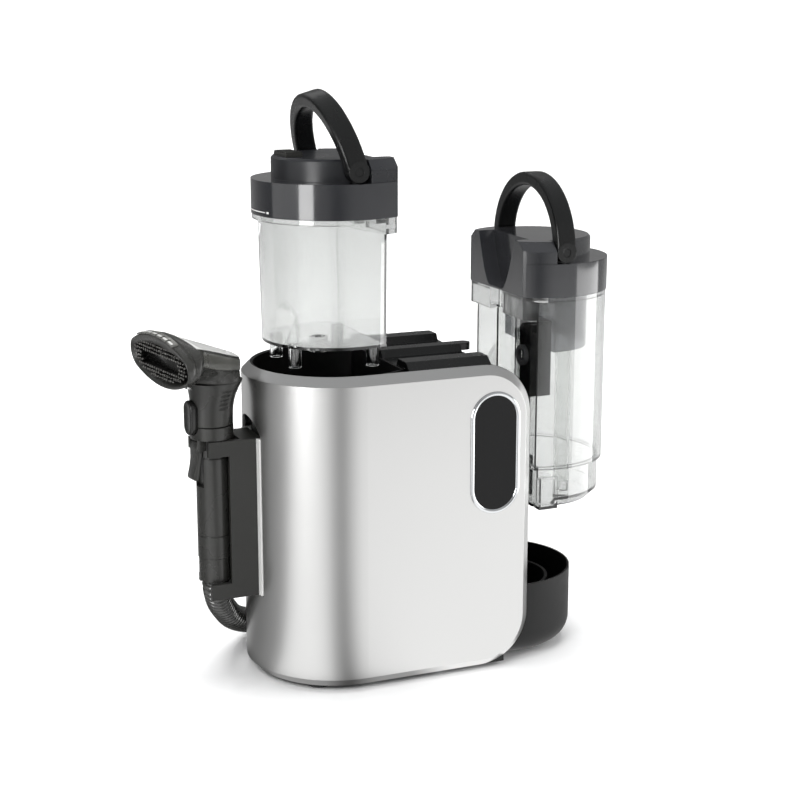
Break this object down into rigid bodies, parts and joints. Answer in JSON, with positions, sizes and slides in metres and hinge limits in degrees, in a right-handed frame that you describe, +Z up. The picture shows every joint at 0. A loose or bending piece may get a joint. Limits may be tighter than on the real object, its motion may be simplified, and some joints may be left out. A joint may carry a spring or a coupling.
{
  "type": "steam spot cleaner",
  "caption": "Upright steam spot cleaner with a silver wrap-round body, two clear lift-out water tanks shown raised, and a black spray gun on a ribbed hose.",
  "frame": {"origin": "on the floor, under the middle of the part without its hose", "axes": "+Z up, -Y out of the front with the oval window, +X towards the dirty water tank, -X towards the spray gun"},
  "size_m": [0.5043, 0.4804, 0.5583],
  "materials": {
    "silver_wrap": "satin",
    "bright_trim": "polished",
    "black_gloss": "glossy",
    "black_plastic": "satin",
    "lid_grey": "glossy",
    "clear_plastic": "clear",
    "soft_rubber": "matte",
    "bail_black": "satin",
    "pin_steel": "brushed",
    "motor_grey": "cast",
    "board_green": "matte",
    "float_foam": "matte",
    "gun_black": "satin",
    "hose_black": "satin",
    "bristle_nylon": "matte"
  },
  "bodies": {
    "machine": {"wrap_shell": "silver_wrap", "tank_well": "black_plastic", "motor_tower": "black_plastic", "ridge_cover": "black_plastic", "bay_cheeks": "black_plastic", "dock_cup": "black_plastic", "base_plate": "black_plastic", "feet": "soft_rubber", "case_screws": "pin_steel", "window_bezel": "bright_trim", "window_panel": "black_gloss", "control_board": "board_green", "rear_grille": "black_plastic", "holder_bracket": "black_plastic", "holder_trim": "bright_trim", "suction_motor": "motor_grey", "motor_mount": "black_plastic", "suction_duct": "black_plastic", "dock_seal": "soft_rubber", "water_pump": "motor_grey", "steam_boiler": "pin_steel", "feed_pipe": "pin_steel", "valve_post": "black_plastic", "hose_elbow": "black_plastic", "suction_hose": "hose_black", "cord_gland": "black_plastic"},
    "fan": {"motor_shaft": "pin_steel", "fan_impeller": "black_plastic"},
    "clean_tank": {"clean_vessel": "clear_plastic"},
    "clean_valve": {"clean_valve": "black_plastic"},
    "clean_lid": {"clean_lid": "lid_grey", "clean_lid_seal": "soft_rubber", "filler_tab": "black_plastic", "clean_bail_pins": "pin_steel"},
    "clean_bail": {"clean_bail": "bail_black"},
    "dirty_tank": {"dirty_vessel": "clear_plastic", "dirty_foot": "clear_plastic", "standpipe": "clear_plastic", "intake_seal": "soft_rubber", "float_cage": "black_plastic"},
    "dirty_lid": {"dirty_lid": "lid_grey", "dirty_lid_seal": "soft_rubber", "baffle_skirt": "lid_grey", "dirty_bail_pins": "pin_steel"},
    "dirty_bail": {"dirty_bail": "bail_black"},
    "float": {"float_block": "float_foam"},
    "gun": {"gun_grip": "gun_black", "gun_neck": "gun_black", "gun_head": "gun_black", "spray_nozzle": "clear_plastic", "nozzle_lip": "clear_plastic", "brush_plate": "bristle_nylon", "bristles": "bristle_nylon", "trigger_pin": "pin_steel", "hose_cuff": "gun_black"},
    "trigger": {"trigger": "gun_black"},
    "steam_button": {"steam_button": "gun_black"}
  },
  "joints": [
    {"name": "fan_spin", "type": "hinge", "parent": "machine", "child": "fan", "pos_m": [0.03772, 0, 0.188], "axis": [0, 0, 1], "continuous": true},
    {"name": "clean_tank_lift", "type": "slide", "parent": "machine", "child": "clean_tank", "axis": [0, 0, 1], "range_m": [-0.1715, 0]},
    {"name": "clean_valve_open", "type": "slide", "parent": "clean_tank", "child": "clean_valve", "axis": [0, 0, 1], "range_m": [0, 0.004], "stiffness_N_per_m": 60},
    {"name": "clean_lid_off", "type": "slide", "parent": "clean_tank", "child": "clean_lid", "axis": [0, 0, 1], "range_m": [0, 0.06]},
    {"name": "clean_bail_fold", "type": "hinge", "parent": "clean_lid", "child": "clean_bail", "pos_m": [-0.05028, 0, 0.4878], "axis": [0, -1, 0], "range_deg": [-16, 74]},
    {"name": "dirty_tank_lift", "type": "slide", "parent": "machine", "child": "dirty_tank", "axis": [0.4122, 0, 0.9111], "range_m": [-0.0922, 0]},
    {"name": "dirty_lid_off", "type": "slide", "parent": "dirty_tank", "child": "dirty_lid", "axis": [0, 0, 1], "range_m": [0, 0.125]},
    {"name": "dirty_bail_fold", "type": "hinge", "parent": "dirty_lid", "child": "dirty_bail", "pos_m": [0.16172, 0, 0.4033], "axis": [0, 1, 0], "range_deg": [0, 90]},
    {"name": "float_rise", "type": "slide", "parent": "dirty_tank", "child": "float", "axis": [0, 0, 1], "range_m": [0, 0.035]},
    {"name": "gun_lift", "type": "slide", "parent": "machine", "child": "gun", "axis": [0, 0, 1], "range_m": [0, 0.15], "deforming": ["suction_hose"]},
    {"name": "trigger_pull", "type": "hinge", "parent": "gun", "child": "trigger", "pos_m": [-0.18754, -0.00269, 0.235], "axis": [0.1736, -0.9848, 0], "range_deg": [0, 8], "stiffness_Nm_per_rad": 0.6},
    {"name": "steam_button_press", "type": "slide", "parent": "gun", "child": "steam_button", "axis": [0.9848, 0.1736, 0], "range_m": [0, 0.003], "stiffness_N_per_m": 150}
  ]
}
